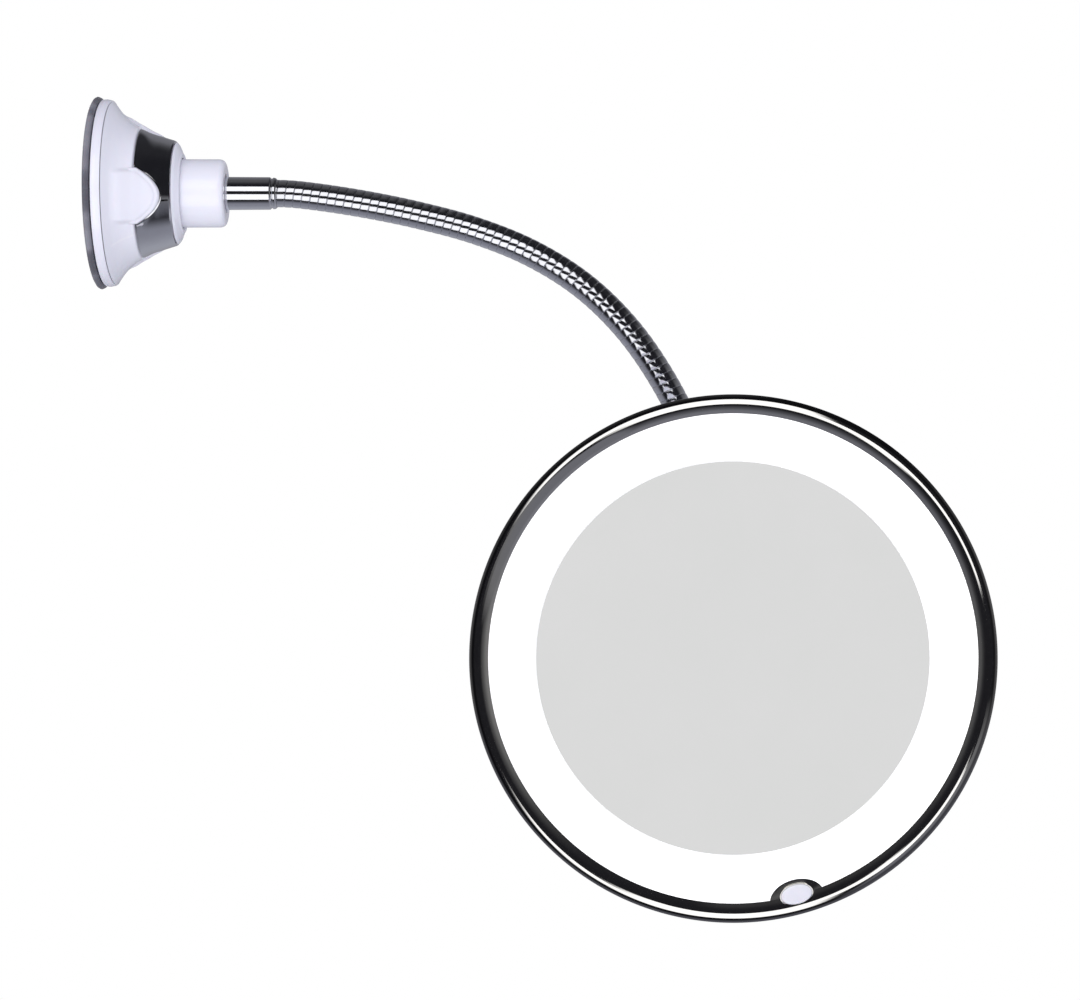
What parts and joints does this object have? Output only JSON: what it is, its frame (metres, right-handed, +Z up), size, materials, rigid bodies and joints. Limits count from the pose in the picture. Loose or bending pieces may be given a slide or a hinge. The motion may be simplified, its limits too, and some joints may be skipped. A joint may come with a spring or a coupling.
{
  "type": "extendable shaving mirror",
  "caption": "Round lit shaving mirror on a flexible gooseneck with a ball joint, held to a smooth wall by a twist-lock suction base.",
  "frame": {"origin": "centre of the suction pad's face, on the wall", "axes": "+X straight out from the wall, +Z up, the mirror looks towards -Y"},
  "size_m": [0.3076, 0.1219, 0.2819],
  "materials": {
    "soft_pad": "grey translucent elastomer, smooth",
    "white_plastic": "white moulded plastic, semi-gloss",
    "chrome": "bright chrome plate",
    "neck_winding": "bright chromed steel winding",
    "steel": "plain bright steel",
    "nylon": "natural nylon",
    "mirror": "silvered concave glass",
    "diffuser": "opal white light diffuser",
    "inner_plastic": "white moulded plastic, unpolished",
    "circuit_board": "white coated circuit board",
    "battery": "plain sleeved dry cell",
    "lead": "red insulated two-core lead"
  },
  "bodies": {
    "wall_base": {"suction_pad": "soft_pad", "base_ring": "white_plastic"},
    "twist_lock": {"lock_bell": "white_plastic", "lock_chrome_trim": "chrome", "lock_cam_ring": "nylon"},
    "hub": {"pull_stud": "steel", "cross_pin": "steel", "hub": "white_plastic", "base_ferrule": "chrome", "neck_coil_00": "neck_winding"},
    "neck_01": {"neck_coil_01": "neck_winding"},
    "neck_02": {"neck_coil_02": "neck_winding"},
    "neck_03": {"neck_coil_03": "neck_winding"},
    "neck_04": {"neck_coil_04": "neck_winding"},
    "neck_05": {"neck_coil_05": "neck_winding"},
    "neck_06": {"neck_coil_06": "neck_winding"},
    "neck_07": {"neck_coil_07": "neck_winding"},
    "neck_08": {"neck_coil_08": "neck_winding"},
    "neck_09": {"neck_coil_09": "neck_winding"},
    "neck_10": {"neck_coil_10": "neck_winding"},
    "neck_11": {"neck_coil_11": "neck_winding"},
    "neck_end": {"neck_coil_12": "neck_winding", "end_ferrule": "chrome", "ball_stud": "chrome"},
    "ball_seat_inner": {"ball_liner_inner": "nylon"},
    "ball_seat_outer": {"ball_liner_outer": "nylon"},
    "head": {"ball_collar": "white_plastic", "back_cover": "white_plastic", "bezel_ring": "chrome", "mirror_glass": "mirror", "light_diffuser": "diffuser", "inner_frame": "inner_plastic", "led_board": "circuit_board", "switch_body": "inner_plastic", "battery_holder": "inner_plastic", "battery_1": "battery", "battery_2": "battery", "battery_3": "battery", "spring_contacts": "steel", "button_contacts": "steel", "battery_lead": "lead", "cover_screw_1": "steel", "cover_screw_2": "steel", "cover_screw_3": "steel", "cover_screw_4": "steel"},
    "button": {"power_button": "white_plastic"},
    "door": {"battery_door": "white_plastic"}
  },
  "joints": [
    {"name": "lock_turn", "type": "hinge", "parent": "wall_base", "child": "twist_lock", "pos_m": [0.01, 0, 0], "axis": [1, 0, 0], "range_deg": [-75, 0]},
    {"name": "stud_slide", "type": "slide", "parent": "wall_base", "child": "hub", "axis": [1, 0, 0], "range_m": [-0.0025, 0], "deforming": ["suction_pad"]},
    {"name": "neck_bend_1", "type": "hinge", "parent": "hub", "child": "neck_01", "pos_m": [0.07313, 0, -0.00056], "axis": [0, 1, 0], "range_deg": [-18, 6]},
    {"name": "neck_swing_1", "type": "hinge", "parent": "neck_01", "child": "neck_02", "pos_m": [0.0944, 0, -0.00365], "axis": [-0.1822, 0, -0.9833], "range_deg": [-12, 12]},
    {"name": "neck_bend_2", "type": "hinge", "parent": "neck_02", "child": "neck_03", "pos_m": [0.11547, 0, -0.00793], "axis": [0, 1, 0], "range_deg": [-18, 6]},
    {"name": "neck_swing_2", "type": "hinge", "parent": "neck_03", "child": "neck_04", "pos_m": [0.1362, 0, -0.01359], "axis": [-0.309, 0, -0.9511], "range_deg": [-12, 12]},
    {"name": "neck_bend_3", "type": "hinge", "parent": "neck_04", "child": "neck_05", "pos_m": [0.15609, 0, -0.02172], "axis": [0, 1, 0], "range_deg": [-18, 6]},
    {"name": "neck_swing_3", "type": "hinge", "parent": "neck_05", "child": "neck_06", "pos_m": [0.17424, 0, -0.03317], "axis": [-0.6157, 0, -0.788], "range_deg": [-12, 12]},
    {"name": "neck_bend_4", "type": "hinge", "parent": "neck_06", "child": "neck_07", "pos_m": [0.18967, 0.00047, -0.04808], "axis": [-0.0313, 0.9991, 0.0302], "range_deg": [-18, 6]},
    {"name": "neck_swing_4", "type": "hinge", "parent": "neck_07", "child": "neck_08", "pos_m": [0.20212, 0.00157, -0.06554], "axis": [-0.857, -0.0126, -0.5152], "range_deg": [-12, 12]},
    {"name": "neck_bend_5", "type": "hinge", "parent": "neck_08", "child": "neck_09", "pos_m": [0.21196, 0.00199, -0.08463], "axis": [-0.0055, 0.9997, -0.0253], "range_deg": [-18, 6]},
    {"name": "neck_swing_5", "type": "hinge", "parent": "neck_09", "child": "neck_10", "pos_m": [0.21901, -0.00054, -0.10473], "axis": [-0.9655, 0.0023, -0.2603], "range_deg": [-12, 12]},
    {"name": "neck_bend_6", "type": "hinge", "parent": "neck_10", "child": "neck_11", "pos_m": [0.22285, -0.00812, -0.12438], "axis": [0.1104, 0.8725, -0.4759], "range_deg": [-18, 6]},
    {"name": "neck_swing_6", "type": "hinge", "parent": "neck_11", "child": "neck_end", "pos_m": [0.2237, -0.02161, -0.14094], "axis": [-0.992, 0.0977, -0.0802], "range_deg": [-12, 12]},
    {"name": "mirror_tilt", "type": "hinge", "parent": "neck_end", "child": "ball_seat_inner", "pos_m": [0.22162, -0.05658, -0.16163], "axis": [1, 0, 0], "range_deg": [-10, 60]},
    {"name": "mirror_pan", "type": "hinge", "parent": "ball_seat_inner", "child": "ball_seat_outer", "pos_m": [0.22162, -0.05658, -0.16163], "axis": [0, 0, 1], "range_deg": [-20, 20]},
    {"name": "mirror_spin", "type": "hinge", "parent": "ball_seat_outer", "child": "head", "pos_m": [0.22162, -0.05658, -0.16163], "axis": [0, 1, 0], "continuous": true},
    {"name": "button_press", "type": "slide", "parent": "head", "child": "button", "axis": [0, 1, 0], "range_m": [0, 0.001], "stiffness_N_per_m": 600, "springref_m": -0.003},
    {"name": "door_pull", "type": "slide", "parent": "head", "child": "door", "axis": [0, 1, 0], "range_m": [0, 0.02]}
  ],
  "couplings": [
    {"joint": "stud_slide", "follows": "lock_turn", "m_per_rad": 0.0019098}
  ]
}
